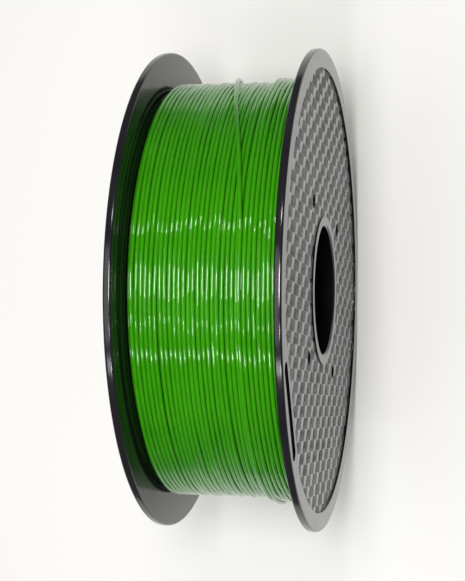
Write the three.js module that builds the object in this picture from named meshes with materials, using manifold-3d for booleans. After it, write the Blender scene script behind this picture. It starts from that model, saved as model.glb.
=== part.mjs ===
// Filament spool: two moulded flanges that snap together at mid width through
// their bore tubes, a drum sleeve clamped between them, and 1.75 mm filament
// wound on the drum. Millimetres, +Z up. The spool stands on its two rims: its
// axis is X, the origin is the centre of the bore at mid width.
import * as THREE from 'three';
import { mergeVertices } from 'three/addons/utils/BufferGeometryUtils.js';
import Module from 'manifold-3d';

const wasm = await Module();
wasm.setup();

// ---------------------------------------------------------------- dimensions
const FLANGE_R = 100;            // flange radius
const HALF_WIDTH = 32.8;         // centre to outer rim face (65.6 overall)
const FLANGE_T = 3.1;            // flange thickness at the rim
const RIM_EDGE = 0.8;            // broken edge of the rim
const BORDER_R = 92.2;           // inner radius of the smooth rim border
const FIELD_DEPTH = 0.9;         // recess of the field inside the border
const COLLAR_R = 31.1;           // outer radius of the collar round the bore
const COLLAR_DROP = 0.25;         // collar face below the rim border face
const BORE_R = 26.85;            // bore radius
const BORE_EDGE = 0.8;           // chamfer at the mouth of the bore
const TUBE_R = 29.05;            // outer radius of the bore tube
const SPIGOT_R = 39.05;          // outer radius of the drum seat
const SPIGOT_IN_R = 36.8;
const SPIGOT_LEN = 12;
const RIB_T = 1.8;               // radial ribs between bore tube and drum seat
const RIBS = 8;
const JOIN_GAP = 0.3;            // clearance between pieces
const LAP_R = 28.0;              // middle of the half-lap between the bore tubes
const TONGUE_LEN = 6;            // how far the right tube laps over the left one
const LATCH_X = -3.6;            // middle of the snap lugs, measured along the axis
const LATCH_LEN = 1.8;
const LATCH_W = 7.4;
const LATCHES = 4;
const HOLE_D = 5.6;                // four holes for the inner end of the filament
const HOLE_PITCH_R = 44.5;
const HOLE_ANGLE = THREE.MathUtils.degToRad(36.75); // first hole, from +Y towards +Z
const SLOT_R = 92.4;             // slot for the free end: distance of its middle line
const SLOT_DIR = THREE.MathUtils.degToRad(118.7);   // its direction, from +Y towards +Z
const SLOT_LEN = 42;
const SLOT_W = 5.4;
const SLOT_END_D = 5.8;
const SLOT_PAD = 86.6;           // the smooth pad round the slot starts at this chord
const DRUM_R = 41.5;
const DRUM_IN_R = 39.4;
const FIL_R = 0.875;             // filament radius
const PACK_R = 85.0;             // outside of the inner layers
const LAYER_R = 86.9;            // outside of the last full layer
const TOP_R = 88.5;              // outside of the part layer on top
const LAYER_LEFT = -27.6;        // where the last full layer stops on the left
const TOP_LEFT = 13.9;           // where the part layer stops
const N = 64;                    // facets round the axis

const INNER = HALF_WIDTH - FLANGE_T;
const K = 1 / Math.cos(Math.PI / N);   // flats lie on the nominal radius

// ---------------------------------------------------------------- materials
const black = (name, c) => new THREE.MeshStandardMaterial({ name, color: c, roughness: 0.32, metalness: 0 });
const green = (name, c) => new THREE.MeshStandardMaterial({ name, color: c, roughness: 0.25, metalness: 0 });

// ---------------------------------------------------------------- solids
function solid(geometry) {
  let g = geometry.clone();
  if (g.index === null) g.setIndex([...Array(g.attributes.position.count).keys()]);
  g.deleteAttribute('normal');
  g.deleteAttribute('uv');
  g = mergeVertices(g, 1e-4);
  const p = g.attributes.position.array;
  const src = g.index.array;
  const idx = [];
  let vol = 0;
  for (let i = 0; i < src.length; i += 3) {
    const [a, b, c] = [src[i], src[i + 1], src[i + 2]];
    if (a === b || b === c || a === c) continue;
    idx.push(a, b, c);
    const A = new THREE.Vector3().fromArray(p, 3 * a);
    const B = new THREE.Vector3().fromArray(p, 3 * b);
    const C = new THREE.Vector3().fromArray(p, 3 * c);
    vol += A.dot(B.cross(C)) / 6;
  }
  if (vol < 0) for (let i = 0; i < idx.length; i += 3) [idx[i + 1], idx[i + 2]] = [idx[i + 2], idx[i + 1]];
  return new wasm.Manifold(new wasm.Mesh({
    numProp: 3,
    vertProperties: new Float32Array(p),
    triVerts: new Uint32Array(idx),
  }));
}

function geometryOf(m) {
  const mesh = m.getMesh();
  const g = new THREE.BufferGeometry();
  g.setAttribute('position', new THREE.BufferAttribute(new Float32Array(mesh.vertProperties), 3));
  g.setIndex(new THREE.BufferAttribute(new Uint32Array(mesh.triVerts), 1));
  g.computeVertexNormals();
  return g;
}

// A ring about the X axis from a closed profile of [radius, x] points.
function ring(profile, n = N) {
  const pts = profile.map(([r, x]) => new THREE.Vector2(r * K, x));
  pts.push(pts[0].clone());
  const g = new THREE.LatheGeometry(pts, n, Math.PI / n, Math.PI * 2);
  g.rotateZ(-Math.PI / 2);
  return g;
}

// A block from x0 to x1 whose middle lies at radius r in direction a (from +Y
// towards +Z), t wide across that direction and len long along it.
function block(x0, x1, r, a, len, t) {
  const g = new THREE.BoxGeometry(x1 - x0, len, t);
  g.translate((x0 + x1) / 2, r, 0);
  g.rotateX(a);
  return g;
}

// A round peg along X at radius r in direction a, moved sideways by s.
function peg(x0, x1, r, a, d, s = 0, n = 20) {
  const g = new THREE.CylinderGeometry(d / 2, d / 2, x1 - x0, n);
  g.rotateZ(-Math.PI / 2);
  g.translate((x0 + x1) / 2, r, s);
  g.rotateX(a);
  return g;
}

// One flange with its outer face towards +X. tubeEnd is where the full wall of
// its bore tube stops.
function flange(tubeEnd) {
  const face = HALF_WIDTH, collar = face - COLLAR_DROP, floor = face - FIELD_DEPTH;
  let m = solid(ring([
    [BORE_R, tubeEnd],
    [TUBE_R, tubeEnd],
    [TUBE_R, INNER],
    [SPIGOT_IN_R, INNER],
    [SPIGOT_IN_R, INNER - SPIGOT_LEN],
    [SPIGOT_R, INNER - SPIGOT_LEN],
    [SPIGOT_R, INNER],
    [FLANGE_R - RIM_EDGE, INNER],
    [FLANGE_R, INNER + RIM_EDGE],
    [FLANGE_R, face - RIM_EDGE],
    [FLANGE_R - RIM_EDGE, face],
    [COLLAR_R + 2, face],
    [COLLAR_R + 2, collar],
    [BORE_R + BORE_EDGE, collar],
    [BORE_R, collar - BORE_EDGE],
  ]));
  // sunk field between the collar and the rim border, less the pad of the slot
  const field = solid(ring([
    [COLLAR_R, floor], [BORDER_R, floor], [BORDER_R, face + 1], [COLLAR_R, face + 1],
  ])).subtract(solid(block(floor - 1, face + 2, SLOT_PAD + 20, SLOT_DIR, 40, 90)));
  m = m.subtract(field);
  // slot for the free end of the filament
  const half = (SLOT_LEN - SLOT_END_D) / 2;
  m = m.subtract(solid(block(INNER - 1, face + 1, SLOT_R, SLOT_DIR, SLOT_W, 2 * half)));
  for (const s of [-half, half]) m = m.subtract(solid(peg(INNER - 1, face + 1, SLOT_R, SLOT_DIR, SLOT_END_D, s)));
  // holes for the inner end of the filament
  for (let i = 0; i < 4; i++) {
    m = m.subtract(solid(peg(INNER - 1, face + 1, HOLE_PITCH_R, HOLE_ANGLE + i * Math.PI / 2, HOLE_D)));
  }
  // ribs between the bore tube and the drum seat
  for (let i = 0; i < RIBS; i++) {
    const r0 = TUBE_R - 0.6, r1 = SPIGOT_IN_R + 0.6;
    m = m.add(solid(block(INNER - SPIGOT_LEN + 1, INNER + 0.5, (r0 + r1) / 2, (i + 0.5) * 2 * Math.PI / RIBS, r1 - r0, RIB_T)));
  }
  return m;
}

const turned = new THREE.Matrix4().makeRotationY(Math.PI);

// Right flange: its tube ends at mid width and carries an outer tongue with
// four inward snap lugs that lap over the left tube.
let right = flange(JOIN_GAP / 2);
right = right.add(solid(ring([
  [LAP_R + JOIN_GAP / 2, -TONGUE_LEN], [TUBE_R, -TONGUE_LEN], [TUBE_R, 1], [LAP_R + JOIN_GAP / 2, 1],
])));
for (let i = 0; i < LATCHES; i++) {
  right = right.add(solid(block(LATCH_X - LATCH_LEN / 2, LATCH_X + LATCH_LEN / 2,
    LAP_R - 0.1, Math.PI / 4 + i * Math.PI / 2, 1.1, LATCH_W)));
}

// Left flange: the same moulding turned round, with the inner half of the lap
// and a window for each snap lug.
let left = flange(TONGUE_LEN + JOIN_GAP);
left = left.add(solid(ring([
  [BORE_R, JOIN_GAP / 2], [LAP_R - JOIN_GAP / 2, JOIN_GAP / 2],
  [LAP_R - JOIN_GAP / 2, TONGUE_LEN + 1.3], [BORE_R, TONGUE_LEN + 1.3],
])));
for (let i = 0; i < LATCHES; i++) {
  left = left.subtract(solid(block(-LATCH_X - LATCH_LEN / 2 - JOIN_GAP, -LATCH_X + LATCH_LEN / 2 + JOIN_GAP,
    LAP_R - 0.1, Math.PI / 4 + i * Math.PI / 2, 4, LATCH_W + 2 * JOIN_GAP)));
}
const leftGeometry = geometryOf(left);
leftGeometry.applyMatrix4(turned);
leftGeometry.computeVertexNormals();

// Drum sleeve, seated on the spigots of both flanges.
const drumEnd = INNER - 0.35;
const drum = solid(ring([[DRUM_IN_R, -drumEnd], [DRUM_R, -drumEnd], [DRUM_R, drumEnd], [DRUM_IN_R, drumEnd]]));

// Filament: the inner layers as one ring, the last full layer and the part
// layer on top of it as their own rings.
const sideGap = 0.35;
const inner = solid(ring([
  [DRUM_R + 0.35, -INNER + sideGap], [PACK_R, -INNER + sideGap], [PACK_R, INNER - sideGap], [DRUM_R + 0.35, INNER - sideGap],
]));
const layer = solid(ring([
  [PACK_R + 0.3, LAYER_LEFT], [LAYER_R - 0.35, LAYER_LEFT], [LAYER_R, LAYER_LEFT + 0.5],
  [LAYER_R, INNER - sideGap], [PACK_R + 0.3, INNER - sideGap],
]));
const top = solid(ring([
  [LAYER_R + 0.3, TOP_LEFT], [TOP_R - 0.4, TOP_LEFT], [TOP_R, TOP_LEFT + 0.6], [TOP_R, INNER - sideGap], [LAYER_R + 0.3, INNER - sideGap],
]));

// Free end: it leaves the edge of the part layer, crosses the full layer and
// goes out through the slot of the left flange. [angle from +Z towards +Y, x, radius]
const TAIL = [
  [20, 12.5, 88.12], [30, 11.6, 88.12], [40, 9.6, 88.12], [50, 6.7, 88.12], [60, 3.6, 88.12], [71, 0.5, 88.12],
  [90, -4.0, 88.12], [110, -8.6, 88.12], [130, -13.0, 88.12], [150, -17.3, 88.12], [170, -21.5, 88.12],
  [182, -24.0, 88.15], [190, -25.9, 88.6], [196, -27.35, 89.6], [200, -28.3, 90.6], [203.5, -29.25, 91.4], [207.5, -30.6, 91.75], [211, -31.85, 91.75],
];
const tailCurve = new THREE.CatmullRomCurve3(TAIL.map(([deg, x, r]) => {
  const a = THREE.MathUtils.degToRad(deg);
  return new THREE.Vector3(x, r * Math.sin(a), r * Math.cos(a));
}), false, 'centripetal');
const section = new THREE.Shape();
for (let i = 0; i < 8; i++) {
  const a = (i + 0.5) * Math.PI / 4;
  const [u, v] = [FIL_R * Math.cos(a), FIL_R * Math.sin(a)];
  if (i === 0) section.moveTo(u, v); else section.lineTo(u, v);
}
section.closePath();
const tail = new THREE.ExtrudeGeometry(section, { steps: 76, bevelEnabled: false, extrudePath: tailCurve });

// ---------------------------------------------------------------- assembly
const spool = new THREE.Group();
spool.name = 'filament_spool';
function put(name, geometry, material) {
  const mesh = new THREE.Mesh(geometry, material);
  mesh.name = name;
  spool.add(mesh);
}
put('flange_right', geometryOf(right), black('spool_plastic', 0x17161a));
put('flange_left', leftGeometry, black('spool_plastic_left', 0x17161a));
put('drum_sleeve', geometryOf(drum), black('drum_plastic', 0x1c1b1f));
put('filament_inner_layers', geometryOf(inner), green('filament_inner', 0x2b8a10));
put('filament_last_full_layer', geometryOf(layer), green('filament_layer', 0x36970d));
put('filament_part_layer', geometryOf(top), green('filament_top', 0x3aa010));
put('filament_free_end', geometryOf(solid(tail)), green('filament_end', 0x3fa814));

export default spool;
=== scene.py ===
import math
import random

import bmesh
import bpy
import numpy as np
from mathutils import Matrix, Vector, geometry, noise


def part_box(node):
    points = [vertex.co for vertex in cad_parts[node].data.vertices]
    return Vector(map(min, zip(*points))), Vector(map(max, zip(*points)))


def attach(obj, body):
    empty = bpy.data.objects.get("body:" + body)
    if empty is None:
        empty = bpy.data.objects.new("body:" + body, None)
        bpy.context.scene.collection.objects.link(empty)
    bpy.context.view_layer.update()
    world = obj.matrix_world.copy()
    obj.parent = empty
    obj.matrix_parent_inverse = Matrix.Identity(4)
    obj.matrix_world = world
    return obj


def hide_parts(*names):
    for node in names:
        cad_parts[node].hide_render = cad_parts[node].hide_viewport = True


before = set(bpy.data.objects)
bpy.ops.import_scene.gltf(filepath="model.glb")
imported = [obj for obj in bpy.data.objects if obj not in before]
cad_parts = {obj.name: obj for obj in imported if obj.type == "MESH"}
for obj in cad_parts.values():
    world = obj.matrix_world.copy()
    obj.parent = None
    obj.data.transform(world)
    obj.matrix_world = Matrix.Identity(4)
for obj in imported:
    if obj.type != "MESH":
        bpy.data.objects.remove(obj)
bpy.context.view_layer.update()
scene = bpy.context.scene
MM = 0.001
TAU = 2 * math.pi
rnd = random.Random(1841)

# ------------------------------------------------------------------ sizes (mm); the half width is taken from the right flange's CAD box
_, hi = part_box("flange_right")
HALF_W = hi.x / MM                       # 32.8
FLANGE_R = 100.0
INNER = HALF_W - 3.1
BORE_R, TUBE_R = 26.85, 29.05
COLLAR_R, BORDER_R = 31.1, 92.2
FIELD = HALF_W - 0.9
COLLAR = HALF_W - 0.25
SLOT_R, SLOT_DIR, SLOT_LEN, SLOT_W = 92.4, math.radians(118.7), 42.0, 5.4
SLOT_PAD = 86.6
HOLE_R, HOLE_PITCH, HOLE_ANG = 2.8, 44.5, math.radians(36.75)
FIL = 0.875
PITCH = 1.80
SPIGOT_IN, SPIGOT_R, SPIGOT_LEN = 36.8, 39.05, 12.0


# ------------------------------------------------------------------ mesh helpers
def mesh_object(name, verts, faces, mats, idx=None, angle=32, scale=MM):
    me = bpy.data.meshes.new(name)
    me.from_pydata([tuple(scale * c for c in v) for v in verts], [], faces)
    for m in mats:
        me.materials.append(m)
    if idx is not None:
        me.polygons.foreach_set("material_index", np.array(idx, np.int32))
    me.polygons.foreach_set("use_smooth", np.ones(len(me.polygons), bool))
    me.validate()
    me.update()
    if angle is not None:
        me.set_sharp_from_angle(angle=math.radians(angle))
    ob = bpy.data.objects.new(name, me)
    scene.collection.objects.link(ob)
    return ob


def weld(ob, dist=2e-6):
    bm = bmesh.new()
    bm.from_mesh(ob.data)
    bmesh.ops.remove_doubles(bm, verts=bm.verts, dist=dist)
    bmesh.ops.dissolve_degenerate(bm, edges=bm.edges, dist=1e-8)
    bmesh.ops.recalc_face_normals(bm, faces=bm.faces)
    open_edges = sum(1 for e in bm.edges if not e.is_manifold)
    bm.to_mesh(ob.data)
    bm.free()
    ob.data.set_sharp_from_angle(angle=math.radians(32))
    return open_edges


# ------------------------------------------------------------------ flange: both faces as plane cell maps with heights
SEG = 256


def circle(r, n=SEG, c=(0.0, 0.0)):
    return [(c[0] + r * math.cos(TAU * i / n), c[1] + r * math.sin(TAU * i / n)) for i in range(n)]


def slot_outline(grow=0.0, n=14):
    """Straight slot with slightly fuller round ends, in (y, z)."""
    ex, ey = math.cos(SLOT_DIR), math.sin(SLOT_DIR)          # outward
    tx, ty = -ey, ex                                         # along the slot
    re = 2.9 + grow
    w = SLOT_W / 2 + grow
    half = (SLOT_LEN - 5.8) / 2
    a0 = math.asin(min(1.0, w / re))
    pts = []
    for sgn in (1, -1):
        for i in range(n + 1):
            a = (math.pi - a0) - (math.pi - a0) * 2 * i / n if sgn == 1 else (math.pi - a0) - (math.pi - a0) * 2 * i / n
            # angle measured from the slot's own direction
            u = sgn * (half + re * math.cos(a))
            v = sgn * re * math.sin(a)
            pts.append((u, v))
    return [(ex * (SLOT_R + v) + tx * u, ey * (SLOT_R + v) + ty * u) for u, v in pts]


def hole_centres():
    return [(HOLE_PITCH * math.cos(HOLE_ANG + i * math.pi / 2), HOLE_PITCH * math.sin(HOLE_ANG + i * math.pi / 2)) for i in range(4)]


def field_outline(grow=0.0, n=240):
    r, d = BORDER_R + grow, SLOT_PAD + grow
    h = math.acos(d / r)
    out = []
    for i in range(n + 1):
        a = SLOT_DIR + h + (TAU - 2 * h) * i / n
        out.append((r * math.cos(a), r * math.sin(a)))
    return out


# woven relief: floats on a centred lattice, ends slanted
ROW = (-1.208, -15.179)       # along a row, in (y, z)
COL = (9.124, -0.055)         # two rows up
ORG = (3.209, -10.762)        # one float's centre
FLOAT_L, FLOAT_H, FLOAT_SHEAR = 9.45, 4.46, 0.6
# unit vectors of a float: u along it (towards -z), w across it (towards +y)
UU = (-math.sin(math.radians(4.6)), -math.cos(math.radians(4.6)))
WW = (math.cos(math.radians(4.6)), -math.sin(math.radians(4.6)))
PAD_UP, PAD_CROWN, PAD_EDGE = 0.035, 0.045, 0.12


def float_centres():
    out = []
    for i in range(-9, 10):
        for j in range(-13, 14):
            for h in (0.0, 0.5):
                y = ORG[0] + (i + h) * ROW[0] + (j + h) * COL[0]
                z = ORG[1] + (i + h) * ROW[1] + (j + h) * COL[1]
                if COLLAR_R - 6 < math.hypot(y, z) < BORDER_R + 7:
                    out.append((y, z))
    return out


def float_local(y, z):
    """For arrays of points: (along, across) coordinates in the nearest float, de-slanted."""
    det = ROW[0] * COL[1] - ROW[1] * COL[0]
    best = None
    for h in (0.0, 0.5):
        dy = y - ORG[0] - h * (ROW[0] + COL[0])
        dz = z - ORG[1] - h * (ROW[1] + COL[1])
        a = (dy * COL[1] - dz * COL[0]) / det
        b = (ROW[0] * dz - ROW[1] * dy) / det
        for da in (-1, 0, 1):
            for db in (-1, 0, 1):
                fa = a - np.round(a) + da
                fb = b - np.round(b) + db
                py = fa * ROW[0] + fb * COL[0]
                pz = fa * ROW[1] + fb * COL[1]
                w = py * WW[0] + pz * WW[1]
                u = py * UU[0] + pz * UU[1] - FLOAT_SHEAR * w
                m = np.maximum(np.abs(u) / FLOAT_L, np.abs(w) / FLOAT_H)
                if best is None:
                    best = [m, u, w]
                else:
                    s = m < best[0]
                    best = [np.where(s, m, best[0]), np.where(s, u, best[1]), np.where(s, w, best[2])]
    return best[1], best[2], best[0] < 0.5


class Plan:
    def __init__(self):
        self.pts, self.edges = [], []

    def loop(self, pts):
        b = len(self.pts)
        self.pts += pts
        n = len(pts)
        self.edges += [(b + i, b + (i + 1) % n) for i in range(n)]

    def seg(self, a, b):
        k = len(self.pts)
        self.pts += [a, b]
        self.edges.append((k, k + 1))

    def run(self):
        v, _, f, _, _, _ = geometry.delaunay_2d_cdt([Vector(p) for p in self.pts], self.edges, [], 0, 1e-5, False)
        return np.array([tuple(p) for p in v]), np.array([list(t) for t in f if len(t) == 3], int)


def clipped(a, b, centres, rad):
    """The parts of segment a-b outside discs round the centres."""
    spans = [(0.0, 1.0)]
    ax, ay = a
    dx, dy = b[0] - ax, b[1] - ay
    L2 = dx * dx + dy * dy
    for cx, cy in centres:
        fx, fy = ax - cx, ay - cy
        B = (fx * dx + fy * dy) / L2
        C = (fx * fx + fy * fy - rad * rad) / L2
        disc = B * B - C
        if disc <= 0:
            continue
        t0, t1 = -B - math.sqrt(disc), -B + math.sqrt(disc)
        new = []
        for s, e in spans:
            if t1 <= s or t0 >= e:
                new.append((s, e))
            else:
                if t0 > s:
                    new.append((s, t0))
                if t1 < e:
                    new.append((t1, e))
        spans = new
    return [((ax + s * dx, ay + s * dy), (ax + e * dx, ay + e * dy)) for s, e in spans if e - s > 1e-3]


def cell_surface(P, T, label, height, drop, flip=False):
    """Faces of a cell map: a face per kept triangle at its cell's height, and a wall wherever two
    neighbouring cells stand at different heights. Returns verts, faces and labels."""
    keep = ~drop
    verts, vid = [], {}

    def v(i, x):
        k = (int(i), round(float(x), 4))
        if k not in vid:
            vid[k] = len(verts)
            verts.append((float(x), float(P[i][0]), float(P[i][1])))
        return vid[k]

    faces, labs, edge = [], [], {}
    for t, (tri, lab, k) in enumerate(zip(T, label, keep)):
        if not k:
            continue
        hs = [height[t][j] for j in range(3)]
        ids = [v(tri[j], hs[j]) for j in range(3)]
        faces.append(ids if not flip else ids[::-1])
        labs.append(int(lab))
        for j in range(3):
            a, b = int(tri[j]), int(tri[(j + 1) % 3])
            edge.setdefault((min(a, b), max(a, b)), []).append((a, b, ids[j], ids[(j + 1) % 3], int(lab)))
    for es in edge.values():
        if len(es) == 2:
            (a, b, i0, i1, l0), (c, d, j0, j1, l1) = es
            # second runs the other way: j0 is at b, j1 at a
            if a == c:
                j0, j1 = j1, j0
            if i0 != j1 or i1 != j0:
                loop = [i1, i0]
                if j1 != i0:
                    loop.append(j1)
                if j0 != i1:
                    loop.append(j0)
                if len(set(loop)) >= 3:
                    faces.append(loop if not flip else loop[::-1])
                    labs.append(9 if l0 in (2, 3) and l1 in (2, 3) else 8)
    return verts, faces, labs


def strip(profile, n=SEG):
    """Faces of a turned strip through [radius, x] points."""
    verts, faces = [], []
    for r, x in profile:
        for i in range(n):
            a = TAU * i / n
            verts.append((x, r * math.cos(a), r * math.sin(a)))
    for k in range(len(profile) - 1):
        for i in range(n):
            j = (i + 1) % n
            faces.append([k * n + i, k * n + j, (k + 1) * n + j, (k + 1) * n + i])
    return verts, faces


def loft(outline, x0, x1):
    n = len(outline)
    verts = [(x0, y, z) for y, z in outline] + [(x1, y, z) for y, z in outline]
    return verts, [[i, (i + 1) % n, n + (i + 1) % n, n + i] for i in range(n)]


def inside(poly, y, z):
    """Even-odd test for arrays."""
    res = np.zeros(y.shape, bool)
    n = len(poly)
    for i in range(n):
        y0, z0 = poly[i]
        y1, z1 = poly[(i + 1) % n]
        c = ((z0 > z) != (z1 > z)) & (y < (y1 - y0) * (z - z0) / ((z1 - z0) if z1 != z0 else 1e-12) + y0)
        res ^= c
    return res


def flange_mesh(name, mats, lap_inner, lap_outer, lap_r, turned):
    holes = hole_centres()
    hn = 40
    # ---- outer face
    P = Plan()
    mouth = BORE_R + 0.8
    for r in (mouth, mouth + 0.15, 30.75, 30.92, COLLAR_R - 0.02, 98.95, 99.2):
        P.loop(circle(r))
    P.loop(field_outline())
    P.loop(field_outline(0.16))
    P.loop(field_outline(0.32))
    P.loop(slot_outline())
    P.loop(slot_outline(0.06))
    P.loop(slot_outline(0.25))
    for c in holes:
        P.loop(circle(HOLE_R, hn, c))
        P.loop(circle(HOLE_R + 0.15, hn, c))
    for cy, cz in float_centres():
        for inset in (0.0, PAD_EDGE):
            L, H = FLOAT_L / 2 - inset, FLOAT_H / 2 - inset
            quad = []
            for u, w in ((-L, -H), (L, -H), (L, H), (-L, H)):
                uu = u + FLOAT_SHEAR * w
                quad.append((cy + uu * UU[0] + w * WW[0], cz + uu * UU[1] + w * WW[1]))
            if max(math.hypot(*q) for q in quad) < COLLAR_R:
                continue
            for i in range(4):
                a, b = quad[i], quad[(i + 1) % 4]
                for s in clipped(a, b, holes, HOLE_R + 0.16):
                    for s2 in keep_in_field(*s):
                        P.seg(*s2)
            if inset:
                for s0 in (-0.5, 0.0, 0.5):   # crown lines along the float
                    w = s0 * 2 * H * 0.5 if s0 else 0.0
                    a = tuple(c + (-L + FLOAT_SHEAR * w) * UU[k] + w * WW[k] for k, c in enumerate((cy, cz)))
                    b = tuple(c + (L + FLOAT_SHEAR * w) * UU[k] + w * WW[k] for k, c in enumerate((cy, cz)))
                    for s in clipped(a, b, holes, HOLE_R + 0.15):
                        for s2 in keep_in_field(*s):
                            P.seg(*s2)
    V, T = P.run()
    C = V[T].mean(1)
    y, z = C[:, 0], C[:, 1]
    r = np.hypot(y, z)
    d = y * math.cos(SLOT_DIR) + z * math.sin(SLOT_DIR)
    label = np.full(len(T), 5)                                   # border
    field = (r < BORDER_R - 0.003) & (d < SLOT_PAD) & (r > COLLAR_R - 0.02)
    bevel = (r < BORDER_R + 0.16) & (d < SLOT_PAD + 0.16) & ~field & (r > 80)
    label[bevel] = 6
    label[field] = 2
    u, w, pad = float_local(y, z)
    label[field & pad] = 3
    label[(r < COLLAR_R - 0.02)] = 1
    label[(r < 30.92)] = 0
    near_hole = np.zeros(len(T), bool)
    in_hole = np.zeros(len(T), bool)
    for cy, cz in holes:
        rr = np.hypot(y - cy, z - cz)
        near_hole |= rr < HOLE_R + 0.15
        in_hole |= rr < HOLE_R
    label[near_hole] = 4
    slot_in = inside(slot_outline(), y, z)
    slot_near = inside(slot_outline(0.06), y, z)
    label[slot_near & ~slot_in] = 7
    drop = (r < mouth) | in_hole | slot_in | (r > 99.2)

    vy, vz = V[:, 0], V[:, 1]
    vr = np.hypot(vy, vz)
    vd = vy * math.cos(SLOT_DIR) + vz * math.sin(SLOT_DIR)
    vu, vw, _ = float_local(vy, vz)
    edge_d = np.minimum(FLOAT_L / 2 - np.abs(vu), FLOAT_H / 2 - np.abs(vw))
    s = np.clip(edge_d / PAD_EDGE, 0, 1)
    pad_h = FIELD + PAD_UP * s + PAD_CROWN * s * (1 - (np.abs(vw) / (FLOAT_H / 2)) ** 2)
    far = np.maximum(vr - BORDER_R, vd - SLOT_PAD)
    border_h = HALF_W - 0.16 * (1 - np.clip(far / 0.16, 0, 1)) ** 2
    hole_d = np.min([np.hypot(vy - a, vz - b) for a, b in holes], axis=0) - HOLE_R
    hole_h = FIELD - 0.12 * (1 - np.clip(hole_d / 0.15, 0, 1))
    slot_edge = slot_outline()
    # points on the slot outline sit 0.04 mm lower, for the bevel
    key = {(round(a, 3), round(b, 3)) for a, b in slot_edge}
    slot_h = np.array([HALF_W - 0.04 if (round(float(a), 3), round(float(b), 3)) in key else HALF_W for a, b in V])
    collar_h = COLLAR - 0.12 * np.clip((vr - 30.92) / 0.16, 0, 1)
    H = np.zeros((len(T), 3))
    table = {0: np.full(len(V), COLLAR), 1: collar_h, 2: np.full(len(V), FIELD), 3: pad_h, 4: hole_h,
             5: np.full(len(V), HALF_W), 6: border_h, 7: slot_h}
    for lab, arr in table.items():
        m = label == lab
        H[m] = arr[T[m]]
    av, af, al = cell_surface(V, T, label, H, drop)
    # the field's edge bevel, the walls between cells and the slot's edge take the darker plastic: painted shade in the
    # recess edges
    parts = [(av, af, [1 if l in (3, 9) else 2 if l in (6, 8, 7) else 0 for l in al])]
    # ---- inner face
    Q = Plan()
    for rr in (BORE_R, lap_r, TUBE_R, SPIGOT_IN, SPIGOT_R, 99.2):
        Q.loop(circle(rr))
    Q.loop(slot_outline())
    for c in holes:
        Q.loop(circle(HOLE_R, hn, c))
    for i in range(8):
        a = (i + 0.5) * TAU / 8
        ex, ey = math.cos(a), math.sin(a)
        for sgn in (-0.9, 0.9):
            r0 = math.sqrt(TUBE_R ** 2 - 0.81) - 0.3
            r1 = SPIGOT_IN + 0.3
            Q.seg((ex * r0 - ey * sgn, ey * r0 + ex * sgn), (ex * r1 - ey * sgn, ey * r1 + ex * sgn))
    V2, T2 = Q.run()
    C = V2[T2].mean(1)
    y, z = C[:, 0], C[:, 1]
    r = np.hypot(y, z)
    ang = np.arctan2(z, y)
    k = np.round((ang - TAU / 16) / (TAU / 8))
    off = np.abs(r * np.sin(ang - (k + 0.5) * TAU / 8))
    hx = np.full(len(T2), INNER)
    hx[(r < SPIGOT_R) & (r > SPIGOT_IN)] = INNER - SPIGOT_LEN
    hx[(r < SPIGOT_IN) & (r > TUBE_R) & (off < 0.9)] = INNER - SPIGOT_LEN + 1
    hx[(r < TUBE_R) & (r > lap_r)] = lap_outer
    hx[(r < lap_r)] = lap_inner
    in_hole = np.zeros(len(T2), bool)
    for cy, cz in holes:
        in_hole |= np.hypot(y - cy, z - cz) < HOLE_R
    drop = (r < BORE_R) | in_hole | inside(slot_outline(), y, z) | (r > 99.2)
    bv, bf, bl = cell_surface(V2, T2, np.zeros(len(T2), int), np.repeat(hx[:, None], 3, 1), drop, flip=True)
    # the inner face takes the darker plastic: painted shade between flange and winding
    parts.append((bv, bf, [2] * len(bf)))
    # ---- rim, bore, and the walls of the holes and of the slot
    rim = [(99.2, HALF_W)]
    for i in range(1, 7):
        a = math.pi / 2 * (1 - i / 6)
        rim.append((99.2 + 0.8 * math.cos(a), HALF_W - 0.8 + 0.8 * math.sin(a)))
    rim += [(FLANGE_R, HALF_W - 1.2), (FLANGE_R, INNER + 1.2)]
    for i in range(0, 7):
        a = -math.pi / 2 * (i / 6)
        rim.append((99.2 + 0.8 * math.cos(a), INNER + 0.8 + 0.8 * math.sin(a)))
    v, f = strip(rim)
    parts.append((v, f, [0] * len(f)))
    v, f = strip([(BORE_R + 0.8, COLLAR), (BORE_R + 0.68, COLLAR - 0.03), (BORE_R, COLLAR - 0.72)])
    parts.append((v, f, [0] * len(f)))
    # the bore wall and the walls of the slot and holes take the darker plastic: painted shade inside them
    v, f = strip([(BORE_R, COLLAR - 0.72), (BORE_R, COLLAR - 0.9), (BORE_R, INNER), (BORE_R, (INNER + lap_inner) / 2), (BORE_R, lap_inner)])
    parts.append((v, f, [2] * len(f)))
    v, f = loft(slot_outline(), HALF_W - 0.04, INNER)
    parts.append((v, f, [2] * len(f)))
    for c in holes:
        v, f = loft(circle(HOLE_R, hn, c), FIELD - 0.12, INNER)
        parts.append((v, f, [2] * len(f)))
    verts, faces, idx = [], [], []
    for v, f, m in parts:
        b = len(verts)
        verts += v
        faces += [[b + q for q in fa] for fa in f]
        idx += m
    ob = mesh_object(name, verts, faces, mats, idx)
    bad = weld(ob)
    print("flange", name, "faces", len(ob.data.polygons), "open edges", bad)
    if turned:
        ob.data.transform(Matrix.Rotation(math.pi, 4, "Y"))
    return ob


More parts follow.
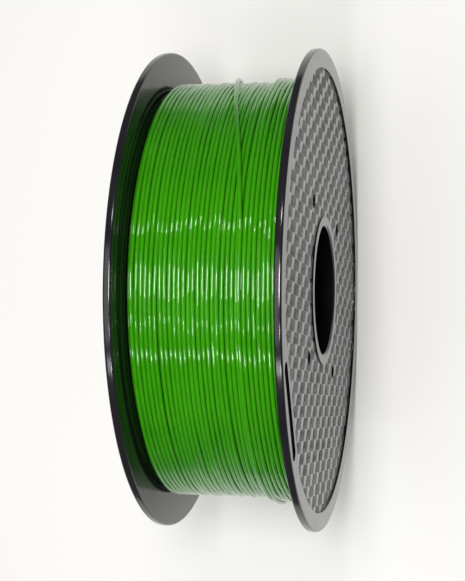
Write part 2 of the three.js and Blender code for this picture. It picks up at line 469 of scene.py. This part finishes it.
def keep_in_field(a, b):
    """Part of a segment inside the sunk field (a little short of its outline)."""
    n = 12
    out, cur = [], None
    L = math.hypot(b[0] - a[0], b[1] - a[1])
    n = max(2, int(L / 0.35))
    pts = [(a[0] + (b[0] - a[0]) * i / n, a[1] + (b[1] - a[1]) * i / n) for i in range(n + 1)]

    def ok(p):
        return COLLAR_R - 0.4 < math.hypot(*p) < BORDER_R + 0.4 and p[0] * math.cos(SLOT_DIR) + p[1] * math.sin(SLOT_DIR) < SLOT_PAD + 0.4
    flags = [ok(p) for p in pts]
    if all(flags):
        return [(a, b)]
    i = 0
    while i <= n:
        if flags[i]:
            j = i
            while j < n and flags[j + 1]:
                j += 1
            if j > i:
                out.append((pts[i], pts[j]))
            i = j + 1
        else:
            i += 1
    return out


# ------------------------------------------------------------------ filament strands
def n1(t, seed):
    return noise.noise(Vector((t, seed * 7.31, seed * 1.7)))


def tube(name, path, mat, sides=12, rad=FIL):
    """A closed round strand through a dense path of (x, r, theta)."""
    n = len(path)
    P = np.array([(x, r * math.sin(t), r * math.cos(t)) for x, r, t in path])
    rad_dir = np.array([(0.0, math.sin(t), math.cos(t)) for _, _, t in path])
    tan = np.gradient(P, axis=0)
    tan /= np.linalg.norm(tan, axis=1)[:, None]
    bi = np.cross(tan, rad_dir)
    bi /= np.linalg.norm(bi, axis=1)[:, None]
    up = np.cross(bi, tan)
    verts, faces = [], []
    ca = [math.cos(TAU * k / sides) for k in range(sides)]
    sa = [math.sin(TAU * k / sides) for k in range(sides)]
    for i in range(n):
        for k in range(sides):
            verts.append(tuple(P[i] + rad * (ca[k] * bi[i] + sa[k] * up[i])))
    for i in range(n - 1):
        for k in range(sides):
            k2 = (k + 1) % sides
            faces.append([i * sides + k, i * sides + k2, (i + 1) * sides + k2, (i + 1) * sides + k])
    # ends: a flat fan cap
    for end, row, sgn in ((0, 0, -1), (n - 1, (n - 1) * sides, 1)):
        c = len(verts)
        verts.append(tuple(P[end] + sgn * 0.0 * tan[end]))
        for k in range(sides):
            k2 = (k + 1) % sides
            faces.append([row + k2, row + k, c] if sgn > 0 else [row + k, row + k2, c])
    ob = mesh_object(name, verts, faces, [mat], angle=50)
    bm = bmesh.new()
    bm.from_mesh(ob.data)
    bmesh.ops.recalc_face_normals(bm, faces=bm.faces)
    bm.to_mesh(ob.data)
    bm.free()
    return ob


def smooth(t):
    t = min(1.0, max(0.0, t))
    return t * t * t * (t * (6 * t - 15) + 10)


R_A, R_B, R_C = 84.44, 86.0, 87.5
# places where the turns were laid a little apart: turn number, middle and half length round the drum (deg), opening (mm)
GAPS = [(5.78, -30, 30, 0.62), (2.85, 40, 26, 0.34), (9.1, 158, 60, 0.40), (12.85, 48, 30, 0.36), (16.3, -62, 30, 0.42), (19.75, -35, 40, 0.40),
        (22.9, 60, 22, 0.46), (25.75, -22, 34, 0.38), (11.8, -75, 24, 0.34), (28.2, -250, 50, 0.40)]


def undulate(th, seed, amp=1.0):
    """Small rise and fall of a strand along its length (mm): each turn's own, so highlights don't line up."""
    return amp * (0.40 * n1(th * 5.2, seed) + 0.19 * n1(th * 9.7, seed + 1) + 0.03 * n1(th * 19.0, seed + 2))


def strand_b():
    """Last full layer: from the left end to the right flange."""
    x0, span, turns, step = -26.72, 55.44, 30.8, 240
    t0 = math.radians(230) - TAU
    res = []
    for i in range(int(turns * step) + 1):
        th = t0 + TAU * i / step
        k = (th - t0) / TAU
        x = x0 + span * k / turns
        ph = (th / TAU) % 1.0
        # wander shared by neighbouring turns, a little of each turn's own, and two cross-overs a turn
        x += 0.16 * n1(ph * TAU * 0.9, 3.0 + 0.16 * k) + 0.10 * n1(th * 1.3, 11.0) + 0.03 * n1(th * 3.7, 12.0)
        rise = undulate(th, 5.0) + 0.07 * n1(th * 0.9, 13.0)
        for c, j in ((0.03, 1.0), (0.53, 2.0)):
            cc = c + 0.02 * n1(k * 0.35, 20 + j)
            dph = (ph - cc + 0.5) % 1.0 - 0.5
            rise += 0.11 * math.exp(-(dph / 0.045) ** 2)
            x += 0.10 * math.tanh(dph / 0.03) * math.exp(-(dph / 0.09) ** 2)
        for g, mid, half, wide in GAPS:
            d = (math.degrees(th) - mid + 180) % 360 - 180
            lens = math.exp(-(d / half) ** 4)
            # the turns before the opening are pressed one way, the later ones the other way
            dist = k - g - d / 360.0 * 0
            x += 0.5 * wide * lens * math.tanh(dist / 0.35) * math.exp(-abs(dist) / 2.4)
        res.append([min(x, 28.78), R_B + rise, th])
    return res


def strand_c():
    """Part layer on top: from the right flange back to where the free end leaves it."""
    turns = 7.75
    t1 = math.radians(14.0) + TAU * 60
    t0 = t1 - TAU * turns
    step = 240
    xa, xb = 28.72, 14.55
    res = []
    N_ = int(turns * step)
    for i in range(N_ + 1):
        th = t0 + (t1 - t0) * i / N_
        k = turns * i / N_
        x = xa + (xb - xa) * k / turns
        ph = (th / TAU) % 1.0
        wander = 0.14 * n1(ph * TAU * 0.8, 41.0 + 0.25 * k) + 0.06 * n1(th * 1.3, 43.0) + 0.02 * n1(th * 3.7, 44.0)
        rise = undulate(th, 45.0)
        fade = min(1.0, k / 0.3) * min(1.0, (turns - k) / 0.12)
        deg = math.degrees(th) % 360
        # the last turns stand off a little underneath
        if k > turns - 1.6:
            d = (deg - 275 + 180) % 360 - 180
            rise += 1.15 * math.exp(-(d / 13.0) ** 2) * (1 if k < turns - 0.6 else 0.0)
        res.append([x + wander * fade, R_C + rise * fade, th])
    return res


TAIL = [
    (14, 14.55, 87.5), (20, 13.75, 87.62), (26, 12.85, 87.76), (34.5, 11.1, 87.8), (40.5, 9.5, 87.82), (47.5, 7.25, 87.84), (56, 4.5, 87.9),
    (63.5, 2.65, 88.02), (70, 0.6, 88.12), (80, -1.8, 88.12), (90, -4.1, 88.0), (110, -8.7, 87.86), (130, -13.1, 87.84), (150, -17.4, 87.82),
    (170, -21.6, 87.84), (182, -24.1, 88.0), (190, -25.9, 88.55), (196, -27.35, 89.6), (200, -28.3, 90.6), (203.5, -29.25, 91.4),
    (207.5, -30.6, 91.75), (211, -31.85, 91.75),
]


def catmull(rows, per=14):
    P = np.array(rows, float)
    t = np.concatenate([[0], np.cumsum(np.hypot(np.diff(P[:, 0]) * 1.5, np.diff(P[:, 1])))])
    out = []
    # monotone-ish cubic through numpy gradient tangents
    m = np.gradient(P, t, axis=0)
    for i in range(len(P) - 1):
        h = t[i + 1] - t[i]
        for j in range(per):
            s = j / per
            h00, h10, h01, h11 = 2 * s**3 - 3 * s**2 + 1, s**3 - 2 * s**2 + s, -2 * s**3 + 3 * s**2, s**3 - s**2
            out.append(h00 * P[i] + h10 * h * m[i] + h01 * P[i + 1] + h11 * h * m[i + 1])
    out.append(P[-1])
    return out


# ------------------------------------------------------------------ materials
def nodes_of(name):
    m = bpy.data.materials.new(name)
    m.use_nodes = True
    nt = m.node_tree
    nt.nodes.clear()
    out = nt.nodes.new("ShaderNodeOutputMaterial")
    bsdf = nt.nodes.new("ShaderNodeBsdfPrincipled")
    nt.links.new(bsdf.outputs["BSDF"], out.inputs["Surface"])
    return m, nt, bsdf


def coords(nt, scale=(1, 1, 1)):
    tc = nt.nodes.new("ShaderNodeTexCoord")
    mp = nt.nodes.new("ShaderNodeMapping")
    mp.inputs["Scale"].default_value = scale
    nt.links.new(tc.outputs["Object"], mp.inputs["Vector"])
    return mp.outputs["Vector"]


def noise_tex(nt, vec, scale, detail=3.0, rough=0.5):
    n = nt.nodes.new("ShaderNodeTexNoise")
    n.inputs["Scale"].default_value = scale
    n.inputs["Detail"].default_value = detail
    n.inputs["Roughness"].default_value = rough
    nt.links.new(vec, n.inputs["Vector"])
    return n.outputs["Fac"]


def ramp(nt, fac, lo, hi, a, b):
    r = nt.nodes.new("ShaderNodeMapRange")
    r.inputs["From Min"].default_value = lo
    r.inputs["From Max"].default_value = hi
    r.inputs["To Min"].default_value = a
    r.inputs["To Max"].default_value = b
    nt.links.new(fac, r.inputs["Value"])
    return r.outputs["Result"]


def mixc(nt, fac, a, b):
    m = nt.nodes.new("ShaderNodeMix")
    m.data_type = "RGBA"
    nt.links.new(fac, m.inputs["Factor"])
    m.inputs["A"].default_value = (*a, 1)
    m.inputs["B"].default_value = (*b, 1)
    return m.outputs["Result"]


def bump(nt, heights, dist, strength=1.0):
    """heights: list of (socket, weight)."""
    acc = None
    for s, w in heights:
        mu = nt.nodes.new("ShaderNodeMath")
        mu.operation = "MULTIPLY"
        nt.links.new(s, mu.inputs[0])
        mu.inputs[1].default_value = w
        if acc is None:
            acc = mu.outputs[0]
        else:
            ad = nt.nodes.new("ShaderNodeMath")
            ad.operation = "ADD"
            nt.links.new(acc, ad.inputs[0])
            nt.links.new(mu.outputs[0], ad.inputs[1])
            acc = ad.outputs[0]
    b = nt.nodes.new("ShaderNodeBump")
    b.inputs["Strength"].default_value = strength
    b.inputs["Distance"].default_value = dist
    nt.links.new(acc, b.inputs["Height"])
    return b.outputs["Normal"]


def black_plastic(name, rough, spread, base=(0.0105, 0.0098, 0.0122), fine=0.0, ior=1.51):
    m, nt, p = nodes_of(name)
    vec = coords(nt)
    cloud = noise_tex(nt, vec, 38, 4, 0.55)
    speck = noise_tex(nt, vec, 900, 2, 0.6)
    dark = tuple(c * 0.8 for c in base)
    col = mixc(nt, ramp(nt, cloud, 0.35, 0.7, 0, 1), dark, tuple(c * 1.25 for c in base))
    nt.links.new(col, p.inputs["Base Color"])
    rr = ramp(nt, cloud, 0.3, 0.7, rough - spread, rough + spread)
    # handling marks: sparse long fine scratches
    sv = coords(nt, (260, 260, 9))
    scr = noise_tex(nt, sv, 3.2, 2, 0.5)
    sc = ramp(nt, scr, 0.66, 0.72, 0.0, 0.08)
    ad = nt.nodes.new("ShaderNodeMath")
    ad.operation = "ADD"
    nt.links.new(rr, ad.inputs[0])
    nt.links.new(sc, ad.inputs[1])
    nt.links.new(ad.outputs[0], p.inputs["Roughness"])
    p.inputs["IOR"].default_value = ior
    hs = [(noise_tex(nt, vec, 160, 3, 0.5), 0.35), (speck, 0.10)]
    if fine:
        # moulded yarn lines running along the floats (Z), a few tenths of a millimetre apart
        fv = coords(nt, (1, 1, 0.06))
        lines = noise_tex(nt, fv, 2600, 2, 0.55)
        hs.append((lines, fine))
    nt.links.new(bump(nt, hs, 0.00006, 0.55), p.inputs["Normal"])
    return m


def filament_material():
    m, nt, p = nodes_of("filament_green")
    vec = coords(nt)
    cloud = noise_tex(nt, vec, 55, 4, 0.6)
    fine = noise_tex(nt, coords(nt, (1, 0.25, 0.25)), 700, 3, 0.6)
    col = mixc(nt, ramp(nt, cloud, 0.3, 0.72, 0, 1), (0.0225, 0.200, 0.0022), (0.0325, 0.238, 0.0034))
    nt.links.new(col, p.inputs["Base Color"])
    nt.links.new(ramp(nt, fine, 0.3, 0.7, 0.065, 0.105), p.inputs["Roughness"])
    p.inputs["IOR"].default_value = 1.41
    p.inputs["Coat Weight"].default_value = 0.45
    p.inputs["Coat Roughness"].default_value = 0.022
    p.inputs["Coat IOR"].default_value = 1.42
    p.inputs["Subsurface Weight"].default_value = 0.25
    p.inputs["Subsurface Radius"].default_value = (0.5, 1.0, 0.15)
    p.inputs["Subsurface Scale"].default_value = 0.0006
    nt.links.new(bump(nt, [(fine, 1.0)], 0.000012, 0.5), p.inputs["Normal"])
    return m


BLACK = black_plastic("spool_black_gloss", 0.14, 0.03, ior=1.50)
WOVEN = black_plastic("spool_black_woven", 0.47, 0.05, base=(0.0115, 0.011, 0.0125), fine=1.0)
DRUM = black_plastic("drum_black", 0.30, 0.05)
# a darker copy of the black plastic: its lower base colour is painted shade for the inner faces, the bore, the hole and
# slot walls and the recess edges
SHADED = black_plastic("spool_black_painted_shade", 0.13, 0.03, base=(0.0062, 0.0052, 0.0078), ior=1.40)
GREEN = filament_material()

# ------------------------------------------------------------------ pieces
right = flange_mesh("spool_flange_right", [BLACK, WOVEN, SHADED], 0.15, -6.0, 28.15, False)
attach(right, "root"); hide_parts("flange_right")
left = flange_mesh("spool_flange_left", [BLACK, WOVEN, SHADED], 0.15, 6.3, 27.85, True)
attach(left, "root"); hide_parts("flange_left")

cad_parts["drum_sleeve"].data.materials.clear()
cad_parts["drum_sleeve"].data.materials.append(DRUM)

b = strand_b()
full = tube("filament_full_layer", [tuple(q) for q in b], GREEN)
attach(full, "root"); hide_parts("filament_last_full_layer")
c = strand_c()
tail_pts = catmull([(math.radians(a) * 50, x, r) for a, x, r in TAIL])
tail_path = [(q[1], q[2], q[0] / 50) for q in tail_pts]
part = tube("filament_part_layer_turns", [tuple(q) for q in c], GREEN)
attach(part, "root"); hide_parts("filament_part_layer")
tail = tube("filament_tail", tail_path, GREEN, sides=16)
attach(tail, "root"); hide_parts("filament_free_end")


def inner_winding():
    """Layer under the last one as a strand, and the core below it with the turn ends of every layer on its sides."""
    x_end = INNER - 0.45
    prof = []
    layers = []
    r = 42.8
    while r < 83.4:
        layers.append(r)
        r += 1.515
    right_side, left_side = [], []
    for i, r in enumerate(layers):
        off = 0.0 if i % 2 else 0.8
        for a in (-60, -20, 20, 60):
            aa = math.radians(a)
            right_side.append((r + FIL * 0.86 * math.sin(aa), x_end - FIL + FIL * math.cos(aa) - off * 0.6))
            left_side.append((r + FIL * 0.86 * math.sin(aa), -(x_end - FIL + FIL * math.cos(aa)) + off * 0.6))
    prof = [(41.9, x_end - 1.0)] + right_side + [(83.6, x_end - 1.2), (83.6, -x_end + 1.2)] + left_side[::-1] + [(41.9, -x_end + 1.0)]
    prof.append(prof[0])
    verts, faces = strip(prof, 120)
    core = mesh_object("filament_inner_winding", verts, faces, [GREEN])
    weld(core)
    step = 96
    path = []
    turns = 31.5
    for i in range(int(turns * step) + 1):
        th = TAU * i / step
        k = turns * i / (turns * step)
        path.append((28.4 - (28.4 + 27.6) * k / turns + 0.05 * n1(th * 1.1, 71.0), R_A + 0.03 * n1(th * 2.0, 72.0), th))
    under = tube("filament_layer_below", path, GREEN, sides=8)
    return core, under


core, under = inner_winding()
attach(core, "root"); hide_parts("filament_inner_layers")
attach(under, "root")

# ------------------------------------------------------------------ stage, camera, light
fm, nt, p = nodes_of("pale_floor")
p.inputs["Base Color"].default_value = (0.82, 0.811, 0.790, 1)
p.inputs["Roughness"].default_value = 0.8
p.inputs["Specular IOR Level"].default_value = 0.2


def floor_sheet(name, half, z):
    me = bpy.data.meshes.new(name)
    me.from_pydata([(-half, -half, z), (half, -half, z), (half, half, z), (-half, half, z)], [], [(0, 1, 2, 3)])
    me.materials.append(fm)
    ob = bpy.data.objects.new(name, me)
    scene.collection.objects.link(ob)
    return ob


# the table top the spool stands on, and the same pale floor carried on beyond it, which the gloss doesn't pick up; the
# floor beyond also glows with painted light
floor_sheet("floor", 0.38, -FLANGE_R * MM - 0.0002)
beyond = floor_sheet("floor_beyond", 4.0, -FLANGE_R * MM - 0.0004)
beyond.visible_glossy = False
pale, nt, p = nodes_of("floor_beyond_painted_glow")
p.inputs["Base Color"].default_value = (0.82, 0.811, 0.790, 1)
p.inputs["Roughness"].default_value = 0.8
p.inputs["Specular IOR Level"].default_value = 0.2
# painted light: the floor beyond glows, its emission rising with distance from the spool, none at 0.38 m and 0.5 from
# 0.9 m out, in place of lamp light on the far floor
p.inputs["Emission Color"].default_value = (1.0, 0.99, 0.97, 1)
tc = nt.nodes.new("ShaderNodeTexCoord")
sx = nt.nodes.new("ShaderNodeSeparateXYZ")
nt.links.new(tc.outputs["Object"], sx.inputs[0])
ab = []
for axis in "XY":
    n = nt.nodes.new("ShaderNodeMath")
    n.operation = "ABSOLUTE"
    nt.links.new(sx.outputs[axis], n.inputs[0])
    ab.append(n.outputs[0])
n = nt.nodes.new("ShaderNodeMath")
n.operation = "MAXIMUM"
nt.links.new(ab[0], n.inputs[0])
nt.links.new(ab[1], n.inputs[1])
nt.links.new(ramp(nt, n.outputs[0], 0.38, 0.9, 0.0, 0.5), p.inputs["Emission Strength"])
beyond.data.materials.clear()
beyond.data.materials.append(pale)

cam = bpy.data.cameras.new("camera")
cam.sensor_width = 36
cam.lens = 86.68
cam.clip_start, cam.clip_end = 0.01, 20
camo = bpy.data.objects.new("camera", cam)
scene.collection.objects.link(camo)
fwd = Vector((-0.22005, 0.0, -0.97549)).normalized()
upv = Vector((-0.00749, 0.99997, 0.00169))
rgt = fwd.cross(upv).normalized()
upv = rgt.cross(fwd)
rot = Matrix((rgt, upv, -fwd)).transposed()
camo.matrix_world = Matrix.Translation(Vector((0.12360, -0.00035, 0.58017))) @ rot.to_4x4()
scene.camera = camo

world = bpy.data.worlds.new("studio")
scene.world = world
world.use_nodes = True
wn = world.node_tree
wn.nodes.clear()


def wnode(kind):
    return wn.nodes.new(kind)


wo, bg, tc, sx, cr, lp = (wnode("ShaderNode" + k) for k in ("OutputWorld", "Background", "TexCoord", "SeparateXYZ", "ValToRGB", "LightPath"))
wn.links.new(tc.outputs["Generated"], sx.inputs[0])
wn.links.new(sx.outputs["Z"], cr.inputs["Fac"])
e = cr.color_ramp.elements                       # what the gloss sees: a dim room
e[0].position, e[0].color = 0.0, (0.10, 0.10, 0.10, 1)
e[1].position, e[1].color = 0.6, (0.015, 0.015, 0.016, 1)
fill = wnode("ShaderNodeMix")                    # what lights the matt surfaces: an even soft fill
fill.data_type = "RGBA"
fill.inputs["A"].default_value = (0.325, 0.323, 0.319, 1)
wn.links.new(lp.outputs["Is Glossy Ray"], fill.inputs["Factor"])
wn.links.new(cr.outputs["Color"], fill.inputs["B"])
seen = wnode("ShaderNodeMix")                    # what stands behind the table: pale
seen.data_type = "RGBA"
seen.inputs["B"].default_value = (0.86, 0.86, 0.85, 1)
wn.links.new(lp.outputs["Is Camera Ray"], seen.inputs["Factor"])
wn.links.new(fill.outputs["Result"], seen.inputs["A"])
wn.links.new(seen.outputs["Result"], bg.inputs["Color"])
wn.links.new(bg.outputs[0], wo.inputs["Surface"])
world.cycles.sampling_method = "NONE"


def panel(name, x0, x1, y0, y1, z, radiance, color=(1, 1, 1)):
    """A soft rectangular panel facing straight down, in metres."""
    li = bpy.data.lights.new(name, "AREA")
    li.shape = "RECTANGLE"
    li.size, li.size_y = x1 - x0, y1 - y0
    li.color = color
    li.energy = radiance * math.pi * li.size * li.size_y
    ob = bpy.data.objects.new(name, li)
    ob.location = ((x0 + x1) / 2, (y0 + y1) / 2, z)
    ob.visible_camera = False
    scene.collection.objects.link(ob)
    return ob


# four lamps over the table, and two weaker ones to the left that show in the rims
panel("lamp_1", -0.015, 0.100, 0.330, 0.400, 0.6, 46.0, (1.0, 0.99, 0.975))
panel("lamp_2", -0.015, 0.100, -0.045, 0.105, 0.6, 44.0, (1.0, 0.995, 0.985))
panel("lamp_3", -0.015, 0.100, -0.205, -0.160, 0.6, 28.0, (0.98, 0.99, 1.0))
panel("lamp_4", -0.015, 0.100, -0.415, -0.365, 0.6, 48.0, (0.985, 0.99, 1.0))
panel("lamp_4_side", -0.26, -0.03, -0.445, -0.350, 0.605, 7.5, (0.985, 0.99, 1.0))
panel("lamp_side", -0.34, -0.06, -0.26, 0.19, 0.61, 1.7, (0.985, 0.99, 1.0))

scene.view_settings.view_transform = "Standard"
scene.view_settings.look = "None"
scene.view_settings.exposure = 0.0
